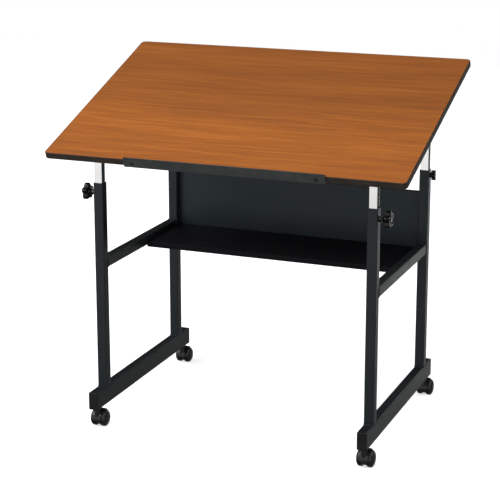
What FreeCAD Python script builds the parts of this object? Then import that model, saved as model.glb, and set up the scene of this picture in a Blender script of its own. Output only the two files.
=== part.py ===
import FreeCAD, Part
import math
import os

# Drafting table on four twin-wheel casters. A laminated board turns on the front pair of telescopic
# posts, and the rear pair carries its back edge and sets the tilt. Millimetres, +Z up, +X to the right
# of the person who sits at the table, +Y away from that person. The origin is on the floor, at the
# centre of the space that the table takes up with the board at its resting tilt.

# ---- board
BOARD_WIDTH = 914.0
BOARD_DEPTH = 600.0
BOARD_THICKNESS = 16.0
BOARD_CORNER_RADIUS = 12.0
SMALLEST_CORNER_RADIUS = 1.0
BOARD_TILT = 19.6
LAMINATE_THICKNESS = 0.8
BAND_THICKNESS = 2.0
BAND_EDGE_ROUND = 1.6
BARB_DEPTH = 7.0
BARB_THICKNESS = 2.4

# ---- where the board turns, measured in the board's own directions
PIVOT_BELOW_BOARD = 16.0
PIVOT_BEHIND_EDGE = 90.0
PIVOT_HEIGHT = 714.1

# ---- pencil ledge: a flat strip along part of the front edge
LEDGE_LEFT = -241.0
LEDGE_RIGHT = 267.0
LEDGE_THICKNESS = 3.0
LEDGE_ABOVE_BOARD = 6.8
LEDGE_BELOW_BOARD = 2.0
LEDGE_CORNER_RADIUS = 3.0
LEDGE_SCREW_INSET = 23.0

# ---- posts and rails
LEG_SPACING_X = 708.0
LEG_SPACING_Y = 440.0
TUBE_SIZE = 25.0
TUBE_WALL = 1.5
TUBE_CORNER = 2.5
BORE_CORNER = 1.0
POST_TOP = 628.7
FOOT_RAIL_HEIGHT = 45.0
FOOT_RAIL_OVERHANG = 52.5
MID_RAIL_BOTTOM = 409.4
INNER_SIZE = 20.0
INNER_CORNER = 2.0
INNER_BORE_CORNER = 0.8
INNER_ABOVE_PIVOT = 8.0
FRONT_INNER_LENGTH = 400.0
REAR_INNER_LENGTH = 545.0

# ---- plastic fittings of the tubes
BUSHING_FLANGE = 1.2
FRONT_BUSHING_DEPTH = 15.0
REAR_BUSHING_DEPTH = 7.0
BUSHING_CLEARANCE = 0.15
GLIDE_CLEARANCE = 0.2
GLIDE_FOOT = 4.0
GLIDE_PLUG = 12.0
GLIDE_CORNER = 1.5
CAP_FLANGE = 4.0
CAP_PLUG = 10.0
CAP_ROUND = 1.8

# ---- shelf and back panel
SHEET = 1.2
SHELF_ABOVE_RAIL_BOTTOM = 10.0
SHELF_FRONT_BEHIND_LEG = 237.5
SHELF_LIP = 14.0
PANEL_BEHIND_LEG = 6.5
PANEL_TOP = 568.1
PANEL_FLANGE = 12.0
FOLD_RADIUS = 1.8
SHELF_SCREW_Y_FROM_FRONT_LEG = (262.0, 332.0, 402.0)
PANEL_SCREW_X = (-280.0, -140.0, 0.0, 140.0, 280.0)
SMALL_SCREW_RADIUS = 2.0
SMALL_SCREW_LENGTH = 8.0
SMALL_HEAD_RADIUS = 3.6
SMALL_HEAD_HEIGHT = 2.4

# ---- pivot brackets and bolts
BRACKET_SHEET = 2.0
BRACKET_HALF_WIDTH = 30.0
PLATE_CORNER_RADIUS = 5.0
EAR_GAP = 0.4
FRONT_PLATE_HALF_LENGTH = 30.0
FRONT_EAR_HALF_LENGTH = 22.0
EAR_TIP_RADIUS = 12.0
REAR_PLATE = (416.0, 502.0)
REAR_EAR = (424.0, 498.0)
REAR_EAR_BOTTOM = -15.0
REAR_EAR_ROUND = 8.0
SLOT_ALONG = (434.8, 489.3)
SLOT_HEIGHT = (-9.4, 6.2)
BOLT_RADIUS = 4.0
BOLT_HEAD_FLATS = 13.0
BOLT_HEAD_HEIGHT = 5.3
NUT_HEIGHT = 6.5
THREAD_PAST_NUT = 1.5
RUNNING_CLEARANCE = 0.07
WOOD_SCREW_RADIUS = 1.9
WOOD_SCREW_LENGTH = 12.0
WOOD_HEAD_RADIUS = 4.0
WOOD_HEAD_HEIGHT = 2.4
WOOD_HEAD_ROUND = 1.2
LEDGE_SCREW_LENGTH = 24.0
LEDGE_HEAD_PROUD = 0.6
LEDGE_HEAD_SUNK = 1.6
BRACKET_SCREW_U = 22.0
FRONT_SCREW_V = 20.0
REAR_SCREW_V = (428.0, 490.0)

# ---- clamping knobs: star grips on the front posts, small wing grips on the rear posts
STUD_RADIUS = 4.0
STUD_TIP_GAP = 0.3
KNOB_BELOW_TOP = 25.0
WELD_NUT_LENGTH = 7.5
KNOB_BOSS_TIP_RADIUS = 6.5
KNOB_BOSS_BASE_RADIUS = 11.0
KNOB_BOSS_LENGTH = 6.5
KNOB_INNER_FACE = 28.0
KNOB_OUTER_FACE = 42.0
KNOB_LOBES = 5
KNOB_LOBE_RADIUS = 7.0
KNOB_LOBE_CENTRE = 14.5
KNOB_CORE_RADIUS = 14.5
KNOB_ROUND = 2.2
STUD_IN_KNOB = 8.0
WING_KNOB_BELOW_TOP = 13.0
WING_NUT_LENGTH = 3.2
WING_INNER_FACE = 16.2
WING_TIP_OUTER_FACE = 28.0
WING_HUB_OUTER_FACE = 26.6
WING_HUB_RADIUS = 6.5
WING_SPAN = 26.0
WING_WAIST = 5.0
WING_THICKNESS = 5.0
WING_ROUND = 1.6
STUD_IN_WING = 6.5

# ---- casters
CASTER_HEIGHT = 53.5
STEM_INSET = 23.5
CASTER_TRAIL = 15.0
WHEEL_RADIUS = 21.0
WHEEL_INNER_FACE = 6.2
WHEEL_TREAD_EDGE = 16.0
WHEEL_OUTER_FACE = 22.0
WHEEL_RIM_ROUND = 1.5
WHEEL_HUB_RADIUS = 12.0
WHEEL_BULGE_OUT = 0.72
WHEEL_BULGE_UP = 0.62
AXLE_RADIUS = 3.0
AXLE_HALF_LENGTH = 19.0
AXLE_END_GAP = 0.5
AXLE_CLEARANCE = 0.06
WEB_HALF_WIDTH = 5.7
WEB_LOWER_RADIUS = 17.5
FENDER_INNER_RADIUS = 22.0
FENDER_OUTER_RADIUS = 24.2
FENDER_HALF_WIDTH = 11.0
FENDER_START = 32.0
FENDER_END = 192.0
TOWER_RADIUS = 8.0
TOWER_GAP = 0.3
SOCKET_RADIUS = 7.0
SOCKET_FLANGE_RADIUS = 9.5
SOCKET_FLANGE = 1.2
SOCKET_LENGTH = 36.0
STEM_RADIUS = 5.5
STEM_COLLAR_RADIUS = 8.0
STEM_COLLAR = 1.7
STEM_PIN_RADIUS = 4.0
STEM_PIN_BOTTOM = 31.5
STEM_END_GAP = 2.0
PIN_BORE_BOTTOM = 31.0

# ---- values that follow from the ones above
TILT = math.radians(BOARD_TILT)
PIVOT_TO_TOP = PIVOT_BELOW_BOARD + BOARD_THICKNESS
EDGE_FORWARD = PIVOT_BEHIND_EDGE * math.cos(TILT) + PIVOT_TO_TOP * math.sin(TILT)
LEDGE_FORWARD = LEDGE_THICKNESS * math.cos(TILT) + LEDGE_ABOVE_BOARD * math.sin(TILT)
FRONT_REACH = EDGE_FORWARD + LEDGE_FORWARD
HALF_TUBE = TUBE_SIZE / 2
REAR_REACH = HALF_TUBE + FOOT_RAIL_OVERHANG - STEM_INSET + CASTER_TRAIL + FENDER_OUTER_RADIUS * math.cos(
    math.radians(FENDER_START))
WHEEL_REAR_REACH = HALF_TUBE + FOOT_RAIL_OVERHANG - STEM_INSET + CASTER_TRAIL + WHEEL_RADIUS
BACK_REACH = max(REAR_REACH, WHEEL_REAR_REACH)
FRONT_LEG_Y = (FRONT_REACH - LEG_SPACING_Y - BACK_REACH) / 2
REAR_LEG_Y = FRONT_LEG_Y + LEG_SPACING_Y
LEG_X = LEG_SPACING_X / 2
RAIL_TOP = CASTER_HEIGHT + FOOT_RAIL_HEIGHT
RAIL_FRONT = FRONT_LEG_Y - HALF_TUBE - FOOT_RAIL_OVERHANG
RAIL_REAR = REAR_LEG_Y + HALF_TUBE + FOOT_RAIL_OVERHANG
BORE_SIZE = TUBE_SIZE - 2 * TUBE_WALL
INNER_HALF = INNER_SIZE / 2
KNOB_HEIGHT = POST_TOP - KNOB_BELOW_TOP
WING_KNOB_HEIGHT = POST_TOP - WING_KNOB_BELOW_TOP
REAR_PIN_HEIGHT = PIVOT_HEIGHT + LEG_SPACING_Y * math.tan(TILT)
SHELF_TOP = MID_RAIL_BOTTOM + SHELF_ABOVE_RAIL_BOTTOM
SHELF_FRONT = FRONT_LEG_Y + SHELF_FRONT_BEHIND_LEG
PANEL_FRONT = REAR_LEG_Y + PANEL_BEHIND_LEG
INNER_SPAN = LEG_X - HALF_TUBE
EAR_INNER = INNER_HALF + EAR_GAP
EAR_OUTER = EAR_INNER + BRACKET_SHEET
PLATE_BOTTOM = PIVOT_BELOW_BOARD - BRACKET_SHEET

TINY = 1e-6
X_AXIS = FreeCAD.Vector(1, 0, 0)
Y_AXIS = FreeCAD.Vector(0, 1, 0)
Z_AXIS = FreeCAD.Vector(0, 0, 1)
SIDES = (("left", -1), ("right", 1))
ENDS = (("front", FRONT_LEG_Y, RAIL_FRONT + STEM_INSET), ("rear", REAR_LEG_Y, RAIL_REAR - STEM_INSET))


# ---- general shapes
def vec(x, y, z):
    return FreeCAD.Vector(x, y, z)


def box(x_range, y_range, z_range):
    size = [high - low for low, high in (x_range, y_range, z_range)]
    return Part.makeBox(size[0], size[1], size[2], vec(x_range[0], y_range[0], z_range[0]))


def rod(radius, start, end):
    line = end - start
    return Part.makeCylinder(radius, line.Length, start, line)


def edges_along(shape, axis):
    found = []
    for edge in shape.Edges:
        if isinstance(edge.Curve, Part.Line) and abs(abs(edge.Curve.Direction.dot(axis)) - 1) < TINY:
            found.append(edge)
    return found


def rounded_bar(x_range, y_range, z_range, axis, radius):
    """A box whose four edges along axis are rounded."""
    bar = box(x_range, y_range, z_range)
    return bar.makeFillet(radius, edges_along(bar, axis))


def hexagon(flats, start, end):
    """A hexagonal prism between two points of an X-parallel axis."""
    corner = flats / math.sqrt(3)
    points = []
    for step in range(7):
        angle = math.radians(60 * step)
        points.append(start + vec(0, corner * math.cos(angle), corner * math.sin(angle)))
    return Part.Face(Part.makePolygon(points)).extrude(end - start)


def fuse(shapes):
    whole = shapes[0].multiFuse(shapes[1:]) if len(shapes) > 1 else shapes[0]
    return whole.removeSplitter()


def save(name, shapes):
    """Write one node: a single solid, or a group of separate solids."""
    solids = []
    for shape in shapes:
        solids += shape.Solids
    shape = solids[0] if len(solids) == 1 else Part.makeCompound(solids)
    if not shape.isValid():
        raise ValueError(name + " is not a valid shape")
    shape.exportStep(os.path.join("parts", name + ".step"))


# ---- the frame's tubes
def tube_y(centre_x, y_range, z_range):
    outer = rounded_bar((centre_x - HALF_TUBE, centre_x + HALF_TUBE), y_range, z_range, Y_AXIS, TUBE_CORNER)
    half_bore = BORE_SIZE / 2
    bore_z = (z_range[0] + TUBE_WALL, z_range[1] - TUBE_WALL)
    bore = rounded_bar((centre_x - half_bore, centre_x + half_bore), y_range, bore_z, Y_AXIS, BORE_CORNER)
    return outer.cut(bore)


def square_post(centre_x, centre_y, z_range, size, radius):
    half = size / 2
    return rounded_bar((centre_x - half, centre_x + half), (centre_y - half, centre_y + half),
                       z_range, Z_AXIS, radius)


def knob_height(leg_y):
    return KNOB_HEIGHT if leg_y == FRONT_LEG_Y else WING_KNOB_HEIGHT


def outer_post(side, leg_y):
    x = side * LEG_X
    stud_z = knob_height(leg_y)
    z_range = (RAIL_TOP, POST_TOP - BUSHING_FLANGE)
    post = square_post(x, leg_y, z_range, TUBE_SIZE, TUBE_CORNER)
    post = post.cut(square_post(x, leg_y, z_range, BORE_SIZE, BORE_CORNER))
    stud_hole = rod(STUD_RADIUS + 2 * BUSHING_CLEARANCE, vec(x + side * INNER_HALF, leg_y, stud_z),
                    vec(x + side * TUBE_SIZE, leg_y, stud_z))
    return post.cut(stud_hole)


def foot_rail(side):
    x = side * LEG_X
    rail = tube_y(x, (RAIL_FRONT + CAP_FLANGE, RAIL_REAR - CAP_FLANGE), (CASTER_HEIGHT, RAIL_TOP))
    for _, _, stem_y in ENDS:
        hole = rod(SOCKET_RADIUS, vec(x, stem_y, CASTER_HEIGHT - 1), vec(x, stem_y, CASTER_HEIGHT + 10))
        rail = rail.cut(hole)
    return rail


def mid_rail(side):
    y_range = (FRONT_LEG_Y + HALF_TUBE, REAR_LEG_Y - HALF_TUBE)
    rail = tube_y(side * LEG_X, y_range, (MID_RAIL_BOTTOM, MID_RAIL_BOTTOM + TUBE_SIZE))
    for offset in SHELF_SCREW_Y_FROM_FRONT_LEG:
        inner_face = side * INNER_SPAN
        height = MID_RAIL_BOTTOM + SHELF_ABOVE_RAIL_BOTTOM / 2
        rail = rail.cut(rod(SMALL_SCREW_RADIUS, vec(inner_face - side, FRONT_LEG_Y + offset, height),
                            vec(inner_face + side * TUBE_WALL * 2, FRONT_LEG_Y + offset, height)))
    return rail


def foot_rail_cap(side, end_y, inward):
    """A plug with a flange that covers the tube's end; inward is +1 at the front end."""
    x = side * LEG_X
    joint = end_y + inward * CAP_FLANGE
    flange = rounded_bar((x - HALF_TUBE, x + HALF_TUBE), sorted((end_y, joint)), (CASTER_HEIGHT, RAIL_TOP),
                         Y_AXIS, TUBE_CORNER)
    rim = [edge for edge in flange.Edges if abs(edge.BoundBox.YMin - end_y) < TINY
           and abs(edge.BoundBox.YMax - end_y) < TINY]
    flange = flange.makeFillet(CAP_ROUND, rim)
    half_bore = BORE_SIZE / 2
    plug = rounded_bar((x - half_bore, x + half_bore), sorted((joint, joint + inward * CAP_PLUG)),
                       (CASTER_HEIGHT + TUBE_WALL, RAIL_TOP - TUBE_WALL), Y_AXIS, BORE_CORNER)
    return fuse([flange, plug])


def post_bushing(side, leg_y):
    """A flanged guide in the post's mouth; its sleeve ends above the stud."""
    x = side * LEG_X
    top = POST_TOP
    depth = FRONT_BUSHING_DEPTH if leg_y == FRONT_LEG_Y else REAR_BUSHING_DEPTH
    seat = POST_TOP - BUSHING_FLANGE
    flange = square_post(x, leg_y, (seat, top), TUBE_SIZE, TUBE_CORNER)
    sleeve = square_post(x, leg_y, (seat - depth, seat), BORE_SIZE, BORE_CORNER)
    hole = square_post(x, leg_y, (seat - depth - 1, top + 1), INNER_SIZE + 2 * BUSHING_CLEARANCE,
                       INNER_CORNER - BUSHING_CLEARANCE)
    return fuse([flange, sleeve]).cut(hole)


def weld_nut(side, leg_y):
    length = WELD_NUT_LENGTH if leg_y == FRONT_LEG_Y else WING_NUT_LENGTH
    start = vec(side * (LEG_X + HALF_TUBE), leg_y, knob_height(leg_y))
    end = start + vec(side * length, 0, 0)
    nut = hexagon(BOLT_HEAD_FLATS, start, end)
    return nut.cut(rod(STUD_RADIUS + RUNNING_CLEARANCE, start - vec(side, 0, 0), end + vec(side, 0, 0)))


# ---- telescopic inner posts
def inner_post(side, leg_y, pin_height, length):
    x = side * LEG_X
    top = pin_height + INNER_ABOVE_PIVOT
    z_range = (top - length, top)
    post = square_post(x, leg_y, z_range, INNER_SIZE, INNER_CORNER)
    post = post.cut(square_post(x, leg_y, z_range, INNER_SIZE - 2 * TUBE_WALL, INNER_BORE_CORNER))
    reach = vec(INNER_SIZE, 0, 0)
    pin = vec(x, leg_y, pin_height)
    return post.cut(rod(BOLT_RADIUS, pin - reach, pin + reach))


def post_glide(side, leg_y, pin_height, length):
    x = side * LEG_X
    bottom = pin_height + INNER_ABOVE_PIVOT - length
    foot = square_post(x, leg_y, (bottom - GLIDE_FOOT, bottom), BORE_SIZE - 2 * GLIDE_CLEARANCE, GLIDE_CORNER)
    plug = square_post(x, leg_y, (bottom, bottom + GLIDE_PLUG), INNER_SIZE - 2 * TUBE_WALL, INNER_BORE_CORNER)
    return fuse([foot, plug])


def pivot_bolt(side, leg_y, pin_height):
    """The head is on the outer side of the bracket, and the thread runs on through the nut."""
    x = side * LEG_X
    head_seat = vec(x + side * EAR_OUTER, leg_y, pin_height)
    thread_end = vec(x - side * (EAR_OUTER + NUT_HEIGHT + THREAD_PAST_NUT), leg_y, pin_height)
    head = hexagon(BOLT_HEAD_FLATS, head_seat, head_seat + vec(side * BOLT_HEAD_HEIGHT, 0, 0))
    return fuse([head, rod(BOLT_RADIUS, thread_end, head_seat)])


def pivot_nut(side, leg_y, pin_height):
    seat = vec(side * (LEG_X - EAR_OUTER), leg_y, pin_height)
    end = seat - vec(side * NUT_HEIGHT, 0, 0)
    return hexagon(BOLT_HEAD_FLATS, seat, end).cut(rod(BOLT_RADIUS, seat, end))


# ---- the board, drawn flat about its front pivot and then tilted and lifted into place
def placed(shape):
    moved = shape.copy()
    moved.rotate(vec(0, 0, 0), X_AXIS, BOARD_TILT)
    moved.translate(vec(0, FRONT_LEG_Y, PIVOT_HEIGHT))
    return moved


def board_outline(inset, w_range):
    """A slab of the board's plan with rounded corners, drawn in from the edge by inset."""
    half = BOARD_WIDTH / 2 - inset
    v_range = (-PIVOT_BEHIND_EDGE + inset, BOARD_DEPTH - PIVOT_BEHIND_EDGE - inset)
    radius = max(BOARD_CORNER_RADIUS - inset, SMALLEST_CORNER_RADIUS)
    return rounded_bar((-half, half), v_range, w_range, Z_AXIS, radius)


BOARD_TOP = PIVOT_TO_TOP
CORE_TOP = BOARD_TOP - LAMINATE_THICKNESS
BARB_MIDDLE = PIVOT_BELOW_BOARD + BOARD_THICKNESS / 2
BARB_RANGE = (BARB_MIDDLE - BARB_THICKNESS / 2, BARB_MIDDLE + BARB_THICKNESS / 2)
LEDGE_SCREW_U = (LEDGE_LEFT + LEDGE_SCREW_INSET, LEDGE_RIGHT - LEDGE_SCREW_INSET)


def bracket_screw_places():
    """(u, v) of every screw that holds the four pivot brackets."""
    places = []
    for _, side in SIDES:
        for offset in (-BRACKET_SCREW_U, BRACKET_SCREW_U):
            for v in (-FRONT_SCREW_V, FRONT_SCREW_V) + REAR_SCREW_V:
                places.append((side * LEG_X + offset, v))
    return places


def board_core():
    core = board_outline(BAND_THICKNESS, (PIVOT_BELOW_BOARD, CORE_TOP))
    groove = board_outline(0.0, BARB_RANGE).cut(board_outline(BAND_THICKNESS + BARB_DEPTH, BARB_RANGE))
    core = core.cut(groove)
    for u, v in bracket_screw_places():
        core = core.cut(rod(WOOD_SCREW_RADIUS, vec(u, v, PIVOT_BELOW_BOARD),
                            vec(u, v, PIVOT_BELOW_BOARD + WOOD_SCREW_LENGTH - BRACKET_SHEET)))
    for u in LEDGE_SCREW_U:
        core = core.cut(ledge_screw_shank(u))
    return core


def board_laminate():
    return board_outline(BAND_THICKNESS, (CORE_TOP, BOARD_TOP))


def board_edge_band():
    """T-shaped moulding: a rounded face round the board and a barb in the core's groove."""
    w_range = (PIVOT_BELOW_BOARD, BOARD_TOP)
    face = board_outline(0.0, w_range)
    rim = [edge for edge in face.Edges if edge.BoundBox.ZMax - edge.BoundBox.ZMin < TINY]
    face = face.makeFillet(BAND_EDGE_ROUND, rim).cut(board_outline(BAND_THICKNESS, w_range))
    barb = board_outline(BAND_THICKNESS, BARB_RANGE).cut(
        board_outline(BAND_THICKNESS + BARB_DEPTH, BARB_RANGE))
    band = fuse([face, barb])
    for u in LEDGE_SCREW_U:
        band = band.cut(ledge_screw_shank(u))
    return band


def ledge_screw_shank(u):
    face = vec(u, -PIVOT_BEHIND_EDGE - LEDGE_THICKNESS, BARB_MIDDLE)
    return rod(WOOD_SCREW_RADIUS, face, face + Y_AXIS * LEDGE_SCREW_LENGTH)


def ledge_screw(u):
    face = vec(u, -PIVOT_BEHIND_EDGE - LEDGE_THICKNESS, BARB_MIDDLE)
    head = rod(WOOD_HEAD_RADIUS, face - Y_AXIS * LEDGE_HEAD_PROUD, face + Y_AXIS * LEDGE_HEAD_SUNK)
    return fuse([head, ledge_screw_shank(u)])


def pencil_ledge():
    """A flat strip with rounded ends, standing a little above the board to stop pencils."""
    back = -PIVOT_BEHIND_EDGE
    w_range = (PIVOT_BELOW_BOARD - LEDGE_BELOW_BOARD, BOARD_TOP + LEDGE_ABOVE_BOARD)
    strip = rounded_bar((LEDGE_LEFT, LEDGE_RIGHT), (back - LEDGE_THICKNESS, back), w_range, Y_AXIS,
                        LEDGE_CORNER_RADIUS)
    for u in LEDGE_SCREW_U:
        strip = strip.cut(ledge_screw(u))
    return strip


def bracket(side, v_range, ears):
    """A screwed plate under the board with two ears that stand either side of the post."""
    x = side * LEG_X
    plate = rounded_bar((x - BRACKET_HALF_WIDTH, x + BRACKET_HALF_WIDTH), v_range,
                        (PLATE_BOTTOM, PIVOT_BELOW_BOARD), Z_AXIS, PLATE_CORNER_RADIUS)
    for u, v in bracket_screw_places():
        if abs(u - x) < BRACKET_HALF_WIDTH and v_range[0] < v < v_range[1]:
            plate = plate.cut(rod(WOOD_SCREW_RADIUS, vec(u, v, 0), vec(u, v, PIVOT_BELOW_BOARD + 1)))
    both = [plate]
    for inner in (x - EAR_OUTER, x + EAR_INNER):
        both.append(ears(inner))
    return fuse(both)


def front_ear(inner):
    """A plate that narrows to a round tip about the pivot hole."""
    corners = ((-FRONT_EAR_HALF_LENGTH, PLATE_BOTTOM), (FRONT_EAR_HALF_LENGTH, PLATE_BOTTOM),
               (EAR_TIP_RADIUS, 0.0), (-EAR_TIP_RADIUS, 0.0), (-FRONT_EAR_HALF_LENGTH, PLATE_BOTTOM))
    points = [vec(inner, v, w) for v, w in corners]
    sheet = Part.Face(Part.makePolygon(points)).extrude(vec(BRACKET_SHEET, 0, 0))
    end = inner + BRACKET_SHEET
    tip = rod(EAR_TIP_RADIUS, vec(inner, 0, 0), vec(end, 0, 0))
    hole = rod(BOLT_RADIUS + RUNNING_CLEARANCE, vec(inner - 1, 0, 0), vec(end + 1, 0, 0))
    return fuse([sheet, tip]).cut(hole)


def rear_ear(inner):
    """A long plate with a slot, because the rear pivot moves along the board as it tilts."""
    x_range = (inner, inner + BRACKET_SHEET)
    plate = box(x_range, REAR_EAR, (REAR_EAR_BOTTOM, PLATE_BOTTOM))
    lower = [edge for edge in edges_along(plate, X_AXIS) if edge.BoundBox.ZMax < 0]
    plate = plate.makeFillet(REAR_EAR_ROUND, lower)
    slot = rounded_bar((inner - 1, inner + BRACKET_SHEET + 1), SLOT_ALONG, SLOT_HEIGHT, X_AXIS, BOLT_RADIUS)
    return plate.cut(slot)


def bracket_screw(u, v):
    head = rod(WOOD_HEAD_RADIUS, vec(u, v, PLATE_BOTTOM - WOOD_HEAD_HEIGHT), vec(u, v, PLATE_BOTTOM))
    rim = [edge for edge in head.Edges if abs(edge.BoundBox.ZMax - PLATE_BOTTOM + WOOD_HEAD_HEIGHT) < TINY]
    head = head.makeFillet(WOOD_HEAD_ROUND, rim)
    shank = rod(WOOD_SCREW_RADIUS, vec(u, v, PLATE_BOTTOM), vec(u, v, PLATE_BOTTOM + WOOD_SCREW_LENGTH))
    return fuse([head, shank])


# ---- shelf and back panel, both folded from sheet
def shelf():
    y_range = (SHELF_FRONT, PANEL_FRONT)
    z_range = (SHELF_TOP - SHELF_LIP, SHELF_TOP)
    block = box((-INNER_SPAN, INNER_SPAN), y_range, z_range)
    front_edge = [edge for edge in edges_along(block, X_AXIS)
                  if edge.BoundBox.ZMin > SHELF_TOP - 1 and edge.BoundBox.YMax < SHELF_FRONT + 1]
    block = block.makeFillet(FOLD_RADIUS, front_edge)
    hollow = box((-INNER_SPAN + SHEET, INNER_SPAN - SHEET), (y_range[0] + SHEET, y_range[1] - SHEET),
                 (z_range[0] - 1, z_range[1] - SHEET))
    tray = block.cut(hollow)
    for screw in shelf_screws():
        tray = tray.cut(screw)
    for screw in panel_screws():
        tray = tray.cut(screw)
    return tray


def back_panel():
    z_range = (SHELF_TOP - SHELF_LIP, PANEL_TOP)
    rear = PANEL_FRONT + PANEL_FLANGE
    block = box((-INNER_SPAN, INNER_SPAN), (PANEL_FRONT, rear), z_range)
    top_edge = [edge for edge in edges_along(block, X_AXIS)
                if edge.BoundBox.ZMin > PANEL_TOP - 1 and edge.BoundBox.YMax < PANEL_FRONT + 1]
    block = block.makeFillet(FOLD_RADIUS, top_edge)
    hollow = box((-INNER_SPAN + SHEET, INNER_SPAN - SHEET), (PANEL_FRONT + SHEET, rear + 1),
                 (z_range[0] - 1, z_range[1] - SHEET))
    panel = block.cut(hollow)
    for screw in panel_screws():
        panel = panel.cut(screw)
    return panel


def small_screw(seat, direction):
    """A pan-head screw whose head stands on seat and whose shank runs along direction."""
    head = rod(SMALL_HEAD_RADIUS, seat - direction * SMALL_HEAD_HEIGHT, seat)
    shank = rod(SMALL_SCREW_RADIUS, seat, seat + direction * SMALL_SCREW_LENGTH)
    return fuse([head, shank])


def shelf_screws():
    screws = []
    for _, side in SIDES:
        for offset in SHELF_SCREW_Y_FROM_FRONT_LEG:
            seat = vec(side * (INNER_SPAN - SHEET), FRONT_LEG_Y + offset,
                       MID_RAIL_BOTTOM + SHELF_ABOVE_RAIL_BOTTOM / 2)
            screws.append(small_screw(seat, vec(side, 0, 0)))
    return screws


def panel_screws():
    height = SHELF_TOP - SHELF_LIP / 2
    return [small_screw(vec(x, PANEL_FRONT + SHEET, height), vec(0, -1, 0)) for x in PANEL_SCREW_X]


# ---- knobs, each drawn at the origin along +X, then placed
def star_head():
    """A lobed grip with a blind hole for its stud."""
    thickness = KNOB_OUTER_FACE - KNOB_INNER_FACE
    start = vec(KNOB_INNER_FACE, 0, 0)
    pieces = [rod(KNOB_CORE_RADIUS, start, start + vec(thickness, 0, 0))]
    for lobe in range(KNOB_LOBES):
        angle = 2 * math.pi * lobe / KNOB_LOBES + math.pi / 2
        centre = vec(KNOB_INNER_FACE, KNOB_LOBE_CENTRE * math.cos(angle), KNOB_LOBE_CENTRE * math.sin(angle))
        pieces.append(rod(KNOB_LOBE_RADIUS, centre, centre + vec(thickness, 0, 0)))
    grip = fuse(pieces)
    rims = [edge for edge in grip.Edges if edge.BoundBox.XMax - edge.BoundBox.XMin < TINY]
    grip = grip.makeFillet(KNOB_ROUND, rims)
    boss = Part.makeCone(KNOB_BOSS_TIP_RADIUS, KNOB_BOSS_BASE_RADIUS, KNOB_BOSS_LENGTH,
                         start - vec(KNOB_BOSS_LENGTH, 0, 0), X_AXIS)
    grip = fuse([grip, boss])
    hole = rod(STUD_RADIUS, start - vec(KNOB_BOSS_LENGTH + 1, 0, 0), start + vec(STUD_IN_KNOB, 0, 0))
    return grip.cut(hole)


def wing_head():
    """A hub with two flat wings, upright at rest, and a blind hole for its stud."""
    tip = WING_SPAN / 2
    waist = WING_WAIST / 2
    half = WING_THICKNESS / 2
    outline = [(WING_INNER_FACE, -tip), (WING_TIP_OUTER_FACE, -tip), (WING_HUB_OUTER_FACE, -waist),
               (WING_HUB_OUTER_FACE, waist), (WING_TIP_OUTER_FACE, tip), (WING_INNER_FACE, tip)]
    corners = [vec(x, -half, z) for x, z in outline]
    wings = Part.Face(Part.makePolygon(corners + corners[:1])).extrude(vec(0, WING_THICKNESS, 0))
    tips = [edge for edge in wings.Edges if min(abs(vertex.Point.z) for vertex in edge.Vertexes) > tip - TINY]
    wings = wings.makeFillet(WING_ROUND, tips)
    inner = vec(WING_INNER_FACE, 0, 0)
    hub = rod(WING_HUB_RADIUS, inner, vec(WING_HUB_OUTER_FACE, 0, 0))
    hole = rod(STUD_RADIUS, inner - vec(1, 0, 0), inner + vec(STUD_IN_WING, 0, 0))
    return fuse([wings, hub]).cut(hole)


def knob_stud(grip_end):
    return rod(STUD_RADIUS, vec(INNER_HALF + STUD_TIP_GAP, 0, 0), vec(grip_end, 0, 0))


def knob_placed(shape, side, leg_y):
    turned = shape.copy()
    if side < 0:
        turned.rotate(vec(0, 0, 0), Z_AXIS, 180)
    turned.translate(vec(side * LEG_X, leg_y, knob_height(leg_y)))
    return turned


# ---- casters, each drawn with its stem on the Z axis and its axle a trail behind
def caster_socket():
    floor = CASTER_HEIGHT
    sleeve = rod(SOCKET_RADIUS, vec(0, 0, floor), vec(0, 0, floor + SOCKET_LENGTH))
    flange = rod(SOCKET_FLANGE_RADIUS, vec(0, 0, floor - SOCKET_FLANGE), vec(0, 0, floor))
    hole = rod(STEM_RADIUS, vec(0, 0, floor - SOCKET_FLANGE - 1), vec(0, 0, floor + SOCKET_LENGTH + 1))
    return fuse([sleeve, flange]).cut(hole)


def caster_stem():
    seat = CASTER_HEIGHT - SOCKET_FLANGE
    shaft = rod(STEM_RADIUS, vec(0, 0, seat), vec(0, 0, CASTER_HEIGHT + SOCKET_LENGTH - STEM_END_GAP))
    collar = rod(STEM_COLLAR_RADIUS, vec(0, 0, seat - STEM_COLLAR), vec(0, 0, seat))
    pin = rod(STEM_PIN_RADIUS, vec(0, 0, STEM_PIN_BOTTOM), vec(0, 0, seat - STEM_COLLAR))
    return fuse([shaft, collar, pin])


def sector(inner_radius, outer_radius, half_width, start_degrees, end_degrees):
    """Part of a ring about the axle, between two angles measured from +Y towards +Z."""
    centre = vec(-half_width, CASTER_TRAIL, WHEEL_RADIUS)
    ring = Part.makeCylinder(outer_radius, 2 * half_width, centre, X_AXIS, end_degrees - start_degrees)
    # a partial cylinder about the X axis starts straight up, which is 90 degrees from +Y
    ring.rotate(centre, X_AXIS, start_degrees - 90)
    if inner_radius > 0:
        ring = ring.cut(rod(inner_radius, centre - vec(1, 0, 0), centre + vec(2 * half_width + 1, 0, 0)))
    return ring


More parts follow.
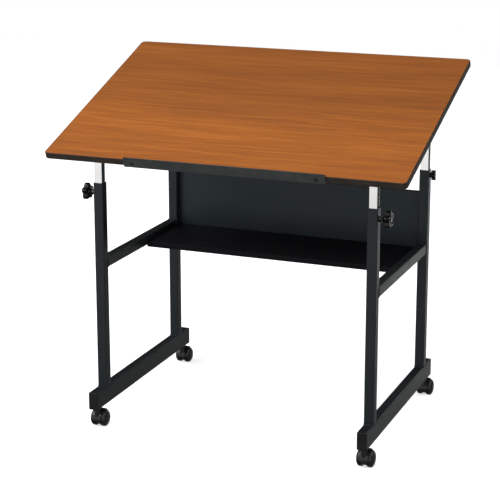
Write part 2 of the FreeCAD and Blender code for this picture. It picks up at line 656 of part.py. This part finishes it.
def caster_hood():
    """A middle web that holds the axle and the stem pin, with a fender over the wheels."""
    centre = vec(0, CASTER_TRAIL, WHEEL_RADIUS)
    width = vec(WEB_HALF_WIDTH, 0, 0)
    web = rod(WEB_LOWER_RADIUS, centre - width, centre + width)
    web_top = sector(0, FENDER_OUTER_RADIUS, WEB_HALF_WIDTH, FENDER_START, FENDER_END)
    fender = sector(FENDER_INNER_RADIUS, FENDER_OUTER_RADIUS, FENDER_HALF_WIDTH, FENDER_START, FENDER_END)
    tower_top = CASTER_HEIGHT - SOCKET_FLANGE - STEM_COLLAR - TOWER_GAP
    tower = rod(TOWER_RADIUS, vec(0, 0, WHEEL_RADIUS), vec(0, 0, tower_top))
    tower = tower.cut(rod(FENDER_INNER_RADIUS, centre + width, centre + vec(2 * WHEEL_OUTER_FACE, 0, 0)))
    tower = tower.cut(rod(FENDER_INNER_RADIUS, centre - vec(2 * WHEEL_OUTER_FACE, 0, 0), centre - width))
    hood = fuse([web, web_top, fender, tower])
    pin_bore = rod(STEM_PIN_RADIUS + RUNNING_CLEARANCE, vec(0, 0, PIN_BORE_BOTTOM), vec(0, 0, CASTER_HEIGHT))
    axle_bore = rod(AXLE_RADIUS, centre - 2 * width, centre + 2 * width)
    return hood.cut(pin_bore).cut(axle_bore)


def caster_axle():
    centre = vec(0, CASTER_TRAIL, WHEEL_RADIUS)
    reach = vec(AXLE_HALF_LENGTH, 0, 0)
    return rod(AXLE_RADIUS, centre - reach, centre + reach)


def caster_wheel(face):
    """A wheel with a flat tread and a domed outer side; face is +1 for the wheel on the +X side."""
    tread = vec(WHEEL_TREAD_EDGE, WHEEL_RADIUS, 0)
    hub = vec(WHEEL_OUTER_FACE, WHEEL_HUB_RADIUS, 0)
    bulge = vec(WHEEL_TREAD_EDGE + WHEEL_BULGE_OUT * (WHEEL_OUTER_FACE - WHEEL_TREAD_EDGE),
                WHEEL_HUB_RADIUS + WHEEL_BULGE_UP * (WHEEL_RADIUS - WHEEL_HUB_RADIUS), 0)
    bore = AXLE_RADIUS + AXLE_CLEARANCE
    bore_end = AXLE_HALF_LENGTH + AXLE_END_GAP
    inner_rim = WHEEL_RADIUS - WHEEL_RIM_ROUND
    outline = [
        Part.LineSegment(vec(WHEEL_INNER_FACE, bore, 0), vec(WHEEL_INNER_FACE, inner_rim, 0)),
        Part.LineSegment(vec(WHEEL_INNER_FACE, inner_rim, 0),
                         vec(WHEEL_INNER_FACE + WHEEL_RIM_ROUND, WHEEL_RADIUS, 0)),
        Part.LineSegment(vec(WHEEL_INNER_FACE + WHEEL_RIM_ROUND, WHEEL_RADIUS, 0), tread),
        Part.Arc(tread, bulge, hub),
        Part.LineSegment(hub, vec(WHEEL_OUTER_FACE, 0, 0)),
        Part.LineSegment(vec(WHEEL_OUTER_FACE, 0, 0), vec(bore_end, 0, 0)),
        Part.LineSegment(vec(bore_end, 0, 0), vec(bore_end, bore, 0)),
        Part.LineSegment(vec(bore_end, bore, 0), vec(WHEEL_INNER_FACE, bore, 0)),
    ]
    wire = Part.Wire([piece.toShape() for piece in outline])
    wheel = Part.Face(wire).revolve(vec(0, 0, 0), X_AXIS, 360)
    if face < 0:
        wheel.rotate(vec(0, 0, 0), Z_AXIS, 180)
    wheel.translate(vec(0, CASTER_TRAIL, WHEEL_RADIUS))
    return wheel


def at_stem(shape, side, stem_y):
    moved = shape.copy()
    moved.translate(vec(side * LEG_X, stem_y, 0))
    return moved


# ---- write every node
def main():
    os.makedirs("parts", exist_ok=True)

    knobs = {"front": (star_head(), KNOB_INNER_FACE + STUD_IN_KNOB),
             "rear": (wing_head(), WING_INNER_FACE + STUD_IN_WING)}
    for side_name, side in SIDES:
        save("foot_rail_" + side_name, [foot_rail(side)])
        save("mid_rail_" + side_name, [mid_rail(side)])
        save("front_bracket_" + side_name, [placed(bracket(
            side, (-FRONT_PLATE_HALF_LENGTH, FRONT_PLATE_HALF_LENGTH), front_ear))])
        save("rear_bracket_" + side_name, [placed(bracket(side, REAR_PLATE, rear_ear))])
        for end_name, leg_y, stem_y in ENDS:
            place = "_" + end_name + "_" + side_name
            save("outer_post" + place, [outer_post(side, leg_y)])
            head, grip_end = knobs[end_name]
            save("knob" + place, [knob_placed(head, side, leg_y)])
            save("knob_stud" + place, [knob_placed(knob_stud(grip_end), side, leg_y)])
            save("caster_hood" + place, [at_stem(caster_hood(), side, stem_y)])
            save("caster_axle" + place, [at_stem(caster_axle(), side, stem_y)])
            for wheel_name, face in SIDES:
                save("caster" + place + "_wheel_" + wheel_name, [at_stem(caster_wheel(face), side, stem_y)])

    corners = [(side, leg_y, stem_y) for _, side in SIDES for _, leg_y, stem_y in ENDS]
    save("post_bushings", [post_bushing(side, leg_y) for side, leg_y, _ in corners])
    save("knob_weld_nuts", [weld_nut(side, leg_y) for side, leg_y, _ in corners])
    save("caster_sockets", [at_stem(caster_socket(), side, stem_y) for side, _, stem_y in corners])
    save("caster_stems", [at_stem(caster_stem(), side, stem_y) for side, _, stem_y in corners])
    save("foot_rail_caps", [foot_rail_cap(side, end_y, inward) for _, side in SIDES
                            for end_y, inward in ((RAIL_FRONT, 1), (RAIL_REAR, -1))])
    save("shelf", [shelf()])
    save("back_panel", [back_panel()])
    save("shelf_panel_screws", shelf_screws() + panel_screws())

    posts = (("front", FRONT_LEG_Y, PIVOT_HEIGHT, FRONT_INNER_LENGTH),
             ("rear", REAR_LEG_Y, REAR_PIN_HEIGHT, REAR_INNER_LENGTH))
    for end_name, leg_y, pin_height, length in posts:
        for side_name, side in SIDES:
            save("inner_post_" + end_name + "_" + side_name, [inner_post(side, leg_y, pin_height, length)])
        both = [side for _, side in SIDES]
        save(end_name + "_post_glides", [post_glide(side, leg_y, pin_height, length) for side in both])
        save(end_name + "_pivot_bolts", [pivot_bolt(side, leg_y, pin_height) for side in both])
        save(end_name + "_pivot_nuts", [pivot_nut(side, leg_y, pin_height) for side in both])

    save("board_core", [placed(board_core())])
    save("board_laminate", [placed(board_laminate())])
    save("board_edge_band", [placed(board_edge_band())])
    save("pencil_ledge", [placed(pencil_ledge())])
    save("ledge_screws", [placed(ledge_screw(u)) for u in LEDGE_SCREW_U])
    save("bracket_screws", [placed(bracket_screw(u, v)) for u, v in bracket_screw_places()])


main()
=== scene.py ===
import math

import bmesh
import bpy
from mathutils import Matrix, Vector


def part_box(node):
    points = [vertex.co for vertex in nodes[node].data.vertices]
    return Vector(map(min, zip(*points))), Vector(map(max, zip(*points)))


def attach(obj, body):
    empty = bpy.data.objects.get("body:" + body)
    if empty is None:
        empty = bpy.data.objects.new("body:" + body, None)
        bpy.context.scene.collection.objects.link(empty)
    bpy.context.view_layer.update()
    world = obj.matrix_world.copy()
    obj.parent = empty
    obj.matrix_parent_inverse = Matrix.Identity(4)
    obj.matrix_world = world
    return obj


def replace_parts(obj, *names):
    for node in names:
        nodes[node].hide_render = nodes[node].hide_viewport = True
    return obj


# Looks, finer meshes, lights and camera for the drafting table. Metres, in the CAD model's own frame.
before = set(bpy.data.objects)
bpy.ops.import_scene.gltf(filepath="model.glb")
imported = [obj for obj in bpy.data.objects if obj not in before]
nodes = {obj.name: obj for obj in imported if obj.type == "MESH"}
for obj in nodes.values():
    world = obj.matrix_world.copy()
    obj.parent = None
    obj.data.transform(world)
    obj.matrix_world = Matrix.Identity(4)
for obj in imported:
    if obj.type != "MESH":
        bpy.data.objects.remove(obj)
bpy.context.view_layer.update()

MM = 0.001
SIDES = (("left", -1), ("right", 1))
ENDS = ("front", "rear")

# ---- camera: above and to the right of the table's front, with a little vertical shift
CAMERA_PLACE = Vector((1.3777, -3.5448, 1.4870))
CAMERA_YAW = math.radians(21.768)
CAMERA_PITCH = math.radians(-13.575)
CAMERA_LENS = 111.774
CAMERA_SHIFT_Y = -0.1


# ---- the board's tilt
def board_tilt():
    """The angle about X of the laminate's largest face, its top or its underside."""
    mesh = nodes["board_laminate"].data
    normal = max(mesh.polygons, key=lambda face: face.area).normal
    if normal.z < 0:
        normal = -normal
    return math.atan2(-normal.y, normal.z)


TILT = board_tilt()


# ---- a short way to write node materials
class Graph:
    """One node material. Its methods each add a node and give its output."""

    def __init__(self, name):
        self.material = bpy.data.materials.new(name)
        self.material.use_nodes = True
        self.tree = self.material.node_tree
        self.shader = self.tree.nodes["Principled BSDF"]

    def put(self, socket, value):
        if isinstance(value, bpy.types.NodeSocket):
            self.tree.links.new(value, socket)
        else:
            socket.default_value = value

    def set(self, **values):
        """Shader inputs by name, with _ for a space."""
        for key, value in values.items():
            self.put(self.shader.inputs[key.replace("_", " ")], value)

    def place(self, scale=(1, 1, 1), turn=(0, 0, 0), source=None):
        """Object coordinates, or source, turned and then scaled."""
        if source is None:
            source = self.tree.nodes.new("ShaderNodeTexCoord").outputs["Object"]
        mapping = self.tree.nodes.new("ShaderNodeMapping")
        self.put(mapping.inputs["Vector"], source)
        self.put(mapping.inputs["Rotation"], turn)
        self.put(mapping.inputs["Scale"], scale)
        return mapping.outputs["Vector"]

    def noise(self, place, scale=1.0, detail=2.0, roughness=0.5):
        made = self.tree.nodes.new("ShaderNodeTexNoise")
        self.put(made.inputs["Vector"], place)
        for key, value in (("Scale", scale), ("Detail", detail), ("Roughness", roughness)):
            self.put(made.inputs[key], value)
        return made.outputs["Fac"]

    def cells(self, place, scale):
        """One random colour for each Voronoi cell."""
        made = self.tree.nodes.new("ShaderNodeTexVoronoi")
        self.put(made.inputs["Vector"], place)
        self.put(made.inputs["Scale"], scale)
        return made.outputs["Color"]

    def math(self, operation, first, second):
        made = self.tree.nodes.new("ShaderNodeMath")
        made.operation = operation
        self.put(made.inputs[0], first)
        self.put(made.inputs[1], second)
        return made.outputs[0]

    def spread(self, value, low, high, to_low, to_high):
        """The range low to high, turned into to_low to to_high and held at both ends."""
        made = self.tree.nodes.new("ShaderNodeMapRange")
        for index, number in enumerate((value, low, high, to_low, to_high)):
            self.put(made.inputs[index], number)
        return made.outputs[0]

    def mix(self, share, first, second, blend="MIX"):
        """Two colours mixed; the inputs and outputs are those of the node's colour mode."""
        made = self.tree.nodes.new("ShaderNodeMix")
        made.data_type = "RGBA"
        made.blend_type = blend
        self.put(made.inputs[0], share)
        self.put(made.inputs[6], first)
        self.put(made.inputs[7], second)
        return made.outputs[2]

    def ramp(self, share, *stops):
        """A colour from stops of (position, colour), in rising order."""
        made = self.tree.nodes.new("ShaderNodeValToRGB")
        band = made.color_ramp
        while len(band.elements) < len(stops):
            band.elements.new(0.5)
        for element, (position, colour) in zip(band.elements, stops):
            element.position = position
            element.color = (*colour, 1)
        self.put(made.inputs["Fac"], share)
        return made.outputs["Color"]

    def bump(self, height, depth):
        """A bump whose full height is depth metres."""
        made = self.tree.nodes.new("ShaderNodeBump")
        self.put(made.inputs["Strength"], 1.0)
        self.put(made.inputs["Distance"], depth)
        self.put(made.inputs["Height"], height)
        return made.outputs["Normal"]

    def axis(self, place, name):
        made = self.tree.nodes.new("ShaderNodeSeparateXYZ")
        self.put(made.inputs[0], place)
        return made.outputs[name]

    def shifted(self, place, **offsets):
        """place with something added to its X, Y or Z."""
        joined = self.tree.nodes.new("ShaderNodeCombineXYZ")
        for key in "XYZ":
            part = self.axis(place, key)
            if key in offsets:
                part = self.math("ADD", part, offsets[key])
            self.put(joined.inputs[key], part)
        return joined.outputs[0]

    def grey(self, value):
        """A grey colour from a number."""
        made = self.tree.nodes.new("ShaderNodeCombineColor")
        for index in range(3):
            self.put(made.inputs[index], value)
        return made.outputs[0]


def rgb(red, green, blue):
    return (red, green, blue, 1)


# ---- materials, one function for each slot of the record and one for the shelf, a darker copy of the panel's paint as painted shade
def wood_laminate():
    """Printed wood-grain laminate: long straight streaks along the board, fine pores, satin varnish, and
    painted shade that darkens it towards the back.
    """
    g = Graph("wood_laminate_look")
    flat = g.place(turn=(-TILT, 0, 0))
    drift = g.spread(g.noise(g.place((1.1, 2.6, 1), source=flat), 1.0, 2.0), 0.25, 0.75, -0.016, 0.016)
    waver = g.spread(g.noise(g.place((5.0, 14.0, 1), source=flat), 1.0, 2.0), 0.25, 0.75, -0.002, 0.002)
    grain = g.shifted(flat, Y=g.math("ADD", drift, waver))
    bands = g.noise(g.place((1.5, 13.0, 1), source=grain), 1.0, 3.0, 0.55)
    streaks = g.noise(g.place((4.2, 120.0, 1), source=grain), 1.0, 4.0, 0.60)
    fibres = g.noise(g.place((11.0, 800.0, 1), source=grain), 1.0, 3.0, 0.6)
    pores = g.noise(g.place((38.0, 1600.0, 1), source=grain), 1.0, 1.0, 0.5)
    shade = g.math("ADD", g.math("MULTIPLY", bands, 0.32), g.math("MULTIPLY", streaks, 0.68))
    colour = g.ramp(shade, (0.34, (0.196, 0.060, 0.0120)), (0.46, (0.236, 0.070, 0.0116)),
                    (0.54, (0.264, 0.079, 0.0120)), (0.66, (0.312, 0.098, 0.0160)))
    # painted shade: the colour darkens towards the back of the board, standing in for the light falling
    # off from front to rear
    painted_shade_to_back = g.spread(g.axis(flat, "Y"), 0.14, 0.33, 1.04, 0.82)
    fibre_tint_and_painted_shade = g.math("MULTIPLY", g.spread(fibres, 0.3, 0.7, 0.87, 1.12), painted_shade_to_back)
    colour = g.mix(1.0, colour, g.grey(fibre_tint_and_painted_shade), "MULTIPLY")
    pore_share = g.spread(pores, 0.63, 0.74, 0.0, 0.42)
    colour = g.mix(pore_share, colour, rgb(0.085, 0.026, 0.006))
    height = g.math("SUBTRACT", g.math("MULTIPLY", fibres, 0.5), pore_share)
    g.set(Base_Color=colour, Roughness=g.spread(streaks, 0.3, 0.7, 0.44, 0.54),
          Normal=g.bump(height, 0.00003), Specular_IOR_Level=0.18)
    return g.material


def particle_board():
    """Pressed wood chips, seen under the board."""
    g = Graph("particle_board_look")
    flat = g.place(turn=(-TILT, 0, 0))
    chips = g.cells(g.place((1, 2.2, 1), source=flat), 190.0)
    long_chips = g.cells(g.place((2.0, 0.7, 1), source=flat), 260.0)
    pale = g.ramp(g.axis(chips, "X"), (0.0, (0.235, 0.140, 0.070)), (0.5, (0.330, 0.210, 0.112)),
                  (1.0, (0.430, 0.290, 0.165)))
    dark = g.ramp(g.axis(long_chips, "Y"), (0.0, (0.170, 0.098, 0.048)), (1.0, (0.380, 0.250, 0.140)))
    colour = g.mix(0.45, pale, dark)
    g.set(Base_Color=colour, Roughness=0.75, Normal=g.bump(g.axis(chips, "Z"), 0.0002))
    return g.material


# the sheen of the paint leans to blue
COOL = rgb(0.82, 0.95, 1.0)


def painted(name, colour, roughness, gloss=0.38, peel=0.00003):
    """Baked semi-gloss paint with a faint orange peel, uneven gloss and a cool sheen."""
    g = Graph(name + "_look")
    place = g.place()
    cloud = g.noise(place, 9.0, 3.0)
    peel_height = g.noise(place, 520.0, 2.0)
    grain = g.noise(place, 2600.0, 1.0)
    light = tuple(part * 1.15 for part in colour)
    dark = tuple(part * 0.85 for part in colour)
    g.set(Base_Color=g.ramp(cloud, (0.3, dark), (0.7, light)),
          Roughness=g.spread(g.math("ADD", g.math("MULTIPLY", cloud, 0.6), g.math("MULTIPLY", grain, 0.4)),
                             0.35, 0.65, roughness - 0.04, roughness + 0.05),
          Normal=g.bump(peel_height, peel), Specular_IOR_Level=gloss, Specular_Tint=COOL)
    return g.material


def black_paint():
    return painted("black_paint", (0.0060, 0.0072, 0.0082), 0.34)


def bracket_paint():
    return painted("bracket_paint", (0.0090, 0.0095, 0.0100), 0.38)


def sheet_paint():
    return painted("sheet_paint", (0.0075, 0.0115, 0.0150), 0.42, 0.40, 0.00004)


def shelf_paint_painted_shade():
    """The shelf's paint is flatter and blacker than the panel's: the panel's paint darkened as painted
    shade, for the shade under the board.
    """
    # painted shade: the same sheet paint as the panel, darkened to stand in for the shade under the board
    return painted("shelf_paint_painted_shade", (0.0016, 0.0011, 0.0028), 0.50, 0.15, 0.00004)


def moulded(name, colour, roughness, speck=0.00002, gloss=0.36):
    """Moulded plastic: fine spark-eroded texture, slightly uneven gloss."""
    g = Graph(name + "_look")
    place = g.place()
    flow = g.noise(place, 40.0, 3.0)
    texture = g.noise(place, 3200.0, 2.0)
    light = tuple(part * 1.2 for part in colour)
    dark = tuple(part * 0.8 for part in colour)
    g.set(Base_Color=g.ramp(flow, (0.3, dark), (0.7, light)),
          Roughness=g.spread(flow, 0.3, 0.7, roughness - 0.04, roughness + 0.06),
          Normal=g.bump(texture, speck), Specular_IOR_Level=gloss)
    return g.material


def edge_band():
    return moulded("edge_band", (0.021, 0.0160, 0.0125), 0.60, gloss=0.16)


def ledge_grey():
    return moulded("ledge_grey", (0.026, 0.028, 0.028), 0.45)


def black_plastic():
    return moulded("black_plastic", (0.0040, 0.0044, 0.0050), 0.42, gloss=0.24)


def knob_plastic():
    return moulded("knob_plastic", (0.0018, 0.0018, 0.0022), 0.26, 0.000006, 0.26)


def caster_plastic():
    return moulded("caster_plastic", (0.0075, 0.0075, 0.0082), 0.30, 0.00001)


def wheel_plastic():
    return moulded("wheel_plastic", (0.0065, 0.0065, 0.0072), 0.34, 0.00001)


def chrome():
    """Bright chrome on drawn tube, with faint lines along the draw."""
    g = Graph("chrome_look")
    lines = g.noise(g.place((1400, 1400, 9)), 1.0, 2.0)
    cloud = g.noise(g.place(), 25.0, 3.0)
    g.set(Base_Color=g.ramp(cloud, (0.3, (0.77, 0.765, 0.75)), (0.7, (0.84, 0.835, 0.82))), Metallic=1.0,
          Roughness=g.spread(g.math("ADD", g.math("MULTIPLY", lines, 0.6), g.math("MULTIPLY", cloud, 0.4)),
                             0.3, 0.7, 0.08, 0.15),
          Normal=g.bump(lines, 0.000002))
    return g.material


def zinc_steel():
    """Zinc-plated steel with a faint mottled passivation."""
    g = Graph("zinc_steel_look")
    place = g.place()
    mottle = g.noise(place, 180.0, 4.0, 0.6)
    turning = g.noise(g.place((300, 2500, 2500)), 1.0, 1.0)
    g.set(Base_Color=g.ramp(mottle, (0.3, (0.42, 0.43, 0.44)), (0.7, (0.60, 0.60, 0.58))), Metallic=1.0,
          Roughness=g.spread(mottle, 0.3, 0.7, 0.26, 0.42), Normal=g.bump(turning, 0.00001))
    return g.material


def dark_screw():
    """Black-oxide steel, worn brighter in specks."""
    g = Graph("dark_screw_look")
    wear = g.noise(g.place(), 900.0, 3.0, 0.6)
    g.set(Base_Color=g.ramp(wear, (0.45, (0.03, 0.03, 0.032)), (0.75, (0.12, 0.12, 0.12))), Metallic=0.9,
          Roughness=g.spread(wear, 0.3, 0.7, 0.32, 0.5), Normal=g.bump(wear, 0.00001))
    return g.material


LOOKS = {maker.__name__: maker() for maker in (
    wood_laminate, particle_board, edge_band, ledge_grey, black_paint, sheet_paint, bracket_paint,
    black_plastic, knob_plastic, caster_plastic, wheel_plastic, chrome, zinc_steel, dark_screw)}


def dress_frame():
    """Every CAD node takes the look of its own material slot, and the shelf a darker copy of the panel's
    paint, as painted shade.
    """
    for node in nodes.values():
        for slot in node.material_slots:
            slot.material = LOOKS[slot.material.name.split(".")[0]]
    nodes["shelf"].material_slots[0].material = shelf_paint_painted_shade()


# ---- pieces made here, in millimetres from the axis or the joint they belong to
SHARP_FROM = math.radians(38)


def middle(node):
    low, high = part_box(node)
    return (low + high) / 2


def skin(name, rings, look, body, closed_round=False):
    """A smooth mesh over rings of points, on a body of the model.

    A ring of one point closes an end. closed_round joins the last ring to the first.
    """
    builder = bmesh.new()
    made = [[builder.verts.new(point) for point in ring] for ring in rings]
    pairs = list(zip(made, made[1:]))
    if closed_round:
        pairs.append((made[-1], made[0]))
    for first, second in pairs:
        count = max(len(first), len(second))
        for step in range(count):
            after = (step + 1) % count
            corners = [first[step % len(first)], first[after % len(first)],
                       second[after % len(second)], second[step % len(second)]]
            builder.faces.new(list(dict.fromkeys(corners)))
    bmesh.ops.recalc_face_normals(builder, faces=builder.faces)
    mesh = bpy.data.meshes.new(name)
    builder.to_mesh(mesh)
    builder.free()
    for face in mesh.polygons:
        face.use_smooth = True
    mesh.set_sharp_from_angle(angle=SHARP_FROM)
    mesh.materials.append(LOOKS[look])
    made_object = bpy.data.objects.new(name, mesh)
    bpy.context.scene.collection.objects.link(made_object)
    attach(made_object, body)
    return made_object


# distance outward from the post's middle, radius in the valleys, height of the lobes above the valleys
STAR_PROFILE = (
    (36.0, 0.0, 0.0), (36.0, 4.05, 0.0), (22.0, 4.05, 0.0), (21.5, 4.6, 0.0), (21.5, 6.0, 0.0),
    (21.9, 6.5, 0.0), (27.3, 10.3, 0.0), (28.0, 11.3, 0.0), (28.0, 12.0, 4.6), (28.5, 13.2, 6.3),
    (29.6, 14.1, 7.0), (31.0, 14.4, 7.1), (39.0, 14.4, 7.1), (40.6, 14.0, 6.9), (41.6, 13.0, 6.0),
    (42.0, 11.8, 4.4), (41.8, 10.7, 2.6), (41.0, 9.6, 0.8), (40.8, 8.7, 0.0), (41.0, 7.9, 0.0),
    (41.7, 7.2, 0.0), (42.0, 6.2, 0.0), (42.0, 0.0, 0.0))
STAR_LOBES = 5
STAR_STEPS = 120
# below 1 it makes the lobes wider than the valleys
STAR_FULLNESS = 0.72


def star_knob(side_name, side):
    """Moulded star grip: full rounded lobes, a dished front with a raised cap, and a cone to the stud."""
    place = "front_" + side_name
    post_x = middle("outer_post_" + place).x
    axis = middle("knob_stud_" + place)
    rings = []
    for x, valley, lobe in STAR_PROFILE:
        ring = []
        for step in range(STAR_STEPS if valley > 0 else 1):
            angle = 2 * math.pi * step / STAR_STEPS
            swell = ((1 + math.cos(STAR_LOBES * angle)) / 2) ** STAR_FULLNESS
            radius = (valley + lobe * swell) * MM
            ring.append(Vector((post_x + side * x * MM, axis.y + radius * math.sin(angle),
                                axis.z + radius * math.cos(angle))))
        rings.append(ring)
    grip = skin("star_grip_" + place, rings, "knob_plastic", "knob_" + place)
    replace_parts(grip, "knob_" + place)


# distance outward from the caster's middle, radius
WHEEL_PROFILE = (
    (19.5, 0.0), (19.5, 3.06), (6.2, 3.06), (6.2, 8.0), (6.9, 8.8), (6.9, 16.4), (6.2, 17.2),
    (6.2, 19.2), (6.4, 20.1), (6.9, 20.7), (7.7, 21.0), (15.0, 21.0), (15.9, 20.8), (16.9, 20.2),
    (18.4, 18.6), (19.7, 16.6), (20.6, 14.6), (21.1, 13.0), (20.7, 12.6), (20.6, 12.1), (21.1, 11.7),
    (21.5, 10.6), (21.8, 8.6), (21.95, 6.0), (22.0, 3.0), (22.0, 0.0))
WHEEL_STEPS = 96


def caster_wheel(place, wheel_name, face):
    """Nylon wheel: rounded tread, domed outer side with a ring groove round its cap."""
    node = "caster_" + place + "_wheel_" + wheel_name
    axis = middle(node)
    hood_x = middle("caster_hood_" + place).x
    rings = []
    for x, radius in WHEEL_PROFILE:
        turns = [2 * math.pi * step / WHEEL_STEPS for step in range(WHEEL_STEPS if radius > 0 else 1)]
        rings.append([Vector((hood_x + face * x * MM, axis.y + radius * MM * math.sin(turn),
                              axis.z + radius * MM * math.cos(turn))) for turn in turns])
    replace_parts(skin("tread_" + place + "_" + wheel_name, rings, "wheel_plastic", node), node)


# weld beads: the pitch is from one ripple to the next, the ripple a share of the radius
BEAD_RADIUS = 1.25
BEAD_PITCH = 2.4
BEAD_RIPPLE = 0.16
BEAD_STEPS_PER_RIPPLE = 6
BEAD_SIDES = 8
BEAD_CORNER = 2.6
POST_HALF = 12.5


def square_line(half, corner):
    """Points and outward directions round a square with rounded corners, in its own plane."""
    line = []
    straight = 2 * (half - corner)
    step = BEAD_PITCH / BEAD_STEPS_PER_RIPPLE
    for quarter in range(4):
        turn = quarter * math.pi / 2
        out = (math.cos(turn), math.sin(turn))
        along = (-out[1], out[0])
        for index in range(round(straight / step)):
            offset = -straight / 2 + index * step
            line.append(((out[0] * half + along[0] * offset, out[1] * half + along[1] * offset), out))
        count = round(corner * math.pi / 2 / step)
        for index in range(count):
            bend = turn + math.pi / 2 * index / count
            way = (math.cos(bend), math.sin(bend))
            centre = (half - corner) * (out[0] + along[0]), (half - corner) * (out[1] + along[1])
            line.append(((centre[0] + way[0] * corner, centre[1] + way[1] * corner), way))
    return line


def weld_bead(name, centre, across, over):
    """A rippled bead where a square tube meets a flat face. across and over span the face."""
    normal = across.cross(over)
    rings = []
    for index, (point, out) in enumerate(square_line(POST_HALF, BEAD_CORNER)):
        phase = 2 * math.pi * index / BEAD_STEPS_PER_RIPPLE
        radius = BEAD_RADIUS * (1 + BEAD_RIPPLE * math.sin(phase)) * MM
        place = centre + (across * point[0] + over * point[1]) * MM
        outward = across * out[0] + over * out[1]
        rings.append([place + (outward * math.cos(turn) + normal * math.sin(turn)) * radius
                      for turn in (2 * math.pi * side / BEAD_SIDES for side in range(BEAD_SIDES))])
    skin(name, rings, "black_paint", "frame", closed_round=True)


def make_pieces():
    """Both star grips, all eight wheels, and a bead at each post's foot and each end of the mid rails."""
    right = Vector((1, 0, 0))
    back = Vector((0, 1, 0))
    up = Vector((0, 0, 1))
    for side_name, side in SIDES:
        star_knob(side_name, side)
        rail_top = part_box("foot_rail_" + side_name)[1].z
        rail_low, rail_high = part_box("mid_rail_" + side_name)
        rail = middle("mid_rail_" + side_name)
        for end in ENDS:
            place = end + "_" + side_name
            for wheel_name, face in SIDES:
                caster_wheel(place, wheel_name, face)
            post = middle("outer_post_" + place)
            weld_bead("weld_base_" + place, Vector((post.x, post.y, rail_top)), right, back)
            joint_y = rail_low.y if end == "front" else rail_high.y
            weld_bead("weld_rail_" + place, Vector((rail.x, joint_y, rail.z)), right, up)


# ---- floor, lights and camera
FLOOR_HALF = 6.0
FLOOR_LIFT = 0.60


def make_floor():
    """A pale matt sheet. The eye sees it a little brighter than its own light makes it."""
    mesh = bpy.data.meshes.new("floor")
    corners = [(x * FLOOR_HALF, y * FLOOR_HALF, 0) for x, y in ((-1, -1), (1, -1), (1, 1), (-1, 1))]
    mesh.from_pydata(corners, [], [(0, 1, 2, 3)])
    floor = bpy.data.objects.new("floor", mesh)
    bpy.context.scene.collection.objects.link(floor)
    floor.visible_glossy = False
    g = Graph("floor_look")
    fine = g.noise(g.place(), 60.0, 3.0)
    lift = g.tree.nodes.new("ShaderNodeLightPath").outputs["Is Camera Ray"]
    g.set(Base_Color=g.ramp(fine, (0.3, (0.80, 0.80, 0.80)), (0.7, (0.84, 0.84, 0.84))), Roughness=0.9,
          Specular_IOR_Level=0.0, Emission_Color=rgb(1, 1, 1),
          Emission_Strength=g.math("MULTIPLY", lift, FLOOR_LIFT))
    mesh.materials.append(g.material)


LIGHT_TARGET = Vector((0, 0, 0.5))


def soft_light(name, place, size, watts):
    """A rectangular light that faces the table and that the camera does not see."""
    data = bpy.data.lights.new(name, "AREA")
    data.shape = "RECTANGLE"
    data.size, data.size_y = size
    data.energy = watts
    light = bpy.data.objects.new(name, data)
    bpy.context.scene.collection.objects.link(light)
    light.visible_camera = False
    light.location = place
    light.rotation_euler = (LIGHT_TARGET - Vector(place)).to_track_quat("-Z", "Y").to_euler()


def make_lights():
    soft_light("key_front_left", (-2.4, -2.4, 3.2), (2.2, 2.2), 92)
    soft_light("top", (-0.4, -0.9, 3.6), (3.0, 2.2), 46)
    soft_light("right", (3.4, 1.4, 1.9), (1.6, 1.8), 30)


def make_world():
    """White to the eye. As a light it is bright in front, and behind it is a bright strip in the dark."""
    world = bpy.data.worlds.new("studio")
    bpy.context.scene.world = world
    world.use_nodes = True
    tree = world.node_tree
    link = tree.links.new
    split = tree.nodes.new("ShaderNodeSeparateXYZ")
    link(tree.nodes.new("ShaderNodeTexCoord").outputs["Generated"], split.inputs[0])

    def ranged(source, low, high, to_low, to_high):
        """to_low below low, to_high above high, and a smooth change between them."""
        made = tree.nodes.new("ShaderNodeMapRange")
        made.interpolation_type = "SMOOTHSTEP"
        link(source, made.inputs[0])
        for index, number in enumerate((low, high, to_low, to_high)):
            if isinstance(number, bpy.types.NodeSocket):
                link(number, made.inputs[index + 1])
            else:
                made.inputs[index + 1].default_value = number
        return made.outputs[0]

    across, along, rise = (split.outputs[name] for name in "XYZ")
    front = ranged(rise, -0.36, -0.20, 0.05, 1.10)
    strip_left = ranged(across, -0.05, 0.02, 0.02, 3.00)
    strip = ranged(across, 0.15, 0.22, strip_left, 0.03)
    above_floor = ranged(rise, -0.38, -0.26, 0.24, strip)
    back = ranged(rise, 0.35, 0.60, above_floor, 0.20)
    both = ranged(along, -0.3, 0.3, front, back)
    light = tree.nodes["Background"]
    link(both, light.inputs["Strength"])
    light.inputs["Color"].default_value = (1, 1, 1, 1)
    eye = tree.nodes.new("ShaderNodeBackground")
    eye.inputs["Color"].default_value = (1, 1, 1, 1)
    mix = tree.nodes.new("ShaderNodeMixShader")
    link(tree.nodes.new("ShaderNodeLightPath").outputs["Is Camera Ray"], mix.inputs[0])
    link(light.outputs[0], mix.inputs[1])
    link(eye.outputs[0], mix.inputs[2])
    link(mix.outputs[0], tree.nodes["World Output"].inputs["Surface"])


def make_camera():
    data = bpy.data.cameras.new("camera")
    data.lens = CAMERA_LENS
    data.shift_y = CAMERA_SHIFT_Y
    data.clip_start = 0.1
    data.clip_end = 100.0
    camera = bpy.data.objects.new("camera", data)
    camera.location = CAMERA_PLACE
    camera.rotation_euler = (math.pi / 2 + CAMERA_PITCH, 0, CAMERA_YAW)
    bpy.context.scene.collection.objects.link(camera)
    bpy.context.scene.camera = camera


dress_frame()
make_pieces()
make_floor()
make_lights()
make_world()
make_camera()
bpy.context.scene.view_settings.view_transform = "Standard"
